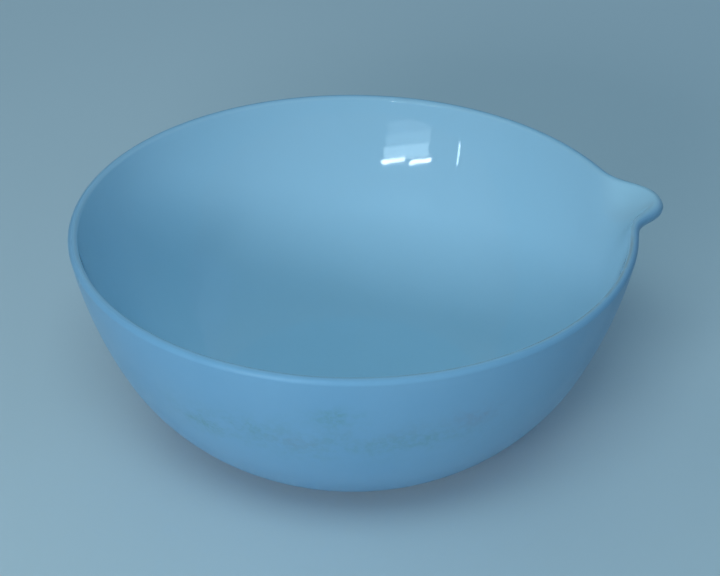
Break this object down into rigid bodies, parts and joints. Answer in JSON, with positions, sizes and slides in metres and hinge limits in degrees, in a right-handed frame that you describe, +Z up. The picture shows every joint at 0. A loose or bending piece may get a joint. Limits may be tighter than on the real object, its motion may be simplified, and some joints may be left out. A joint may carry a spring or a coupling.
{
  "type": "evaporating dish",
  "caption": "Round porcelain laboratory evaporating dish with a wide open bowl, a rounded rim, a pinched pouring spout and a small flat resting face.",
  "frame": {"origin": "centre of the flat resting face, on the bowl's axis", "axes": "+Z up along the bowl's axis, +X from the axis towards the pouring spout"},
  "size_m": [0.2132, 0.2, 0.08],
  "materials": {
    "glaze": "clear glossy glaze over white porcelain",
    "porcelain": "bare fired porcelain, matt and finely rough"
  },
  "bodies": {
    "root": {"glaze_coat": "glaze", "porcelain_body": "porcelain"}
  },
  "joints": []
}
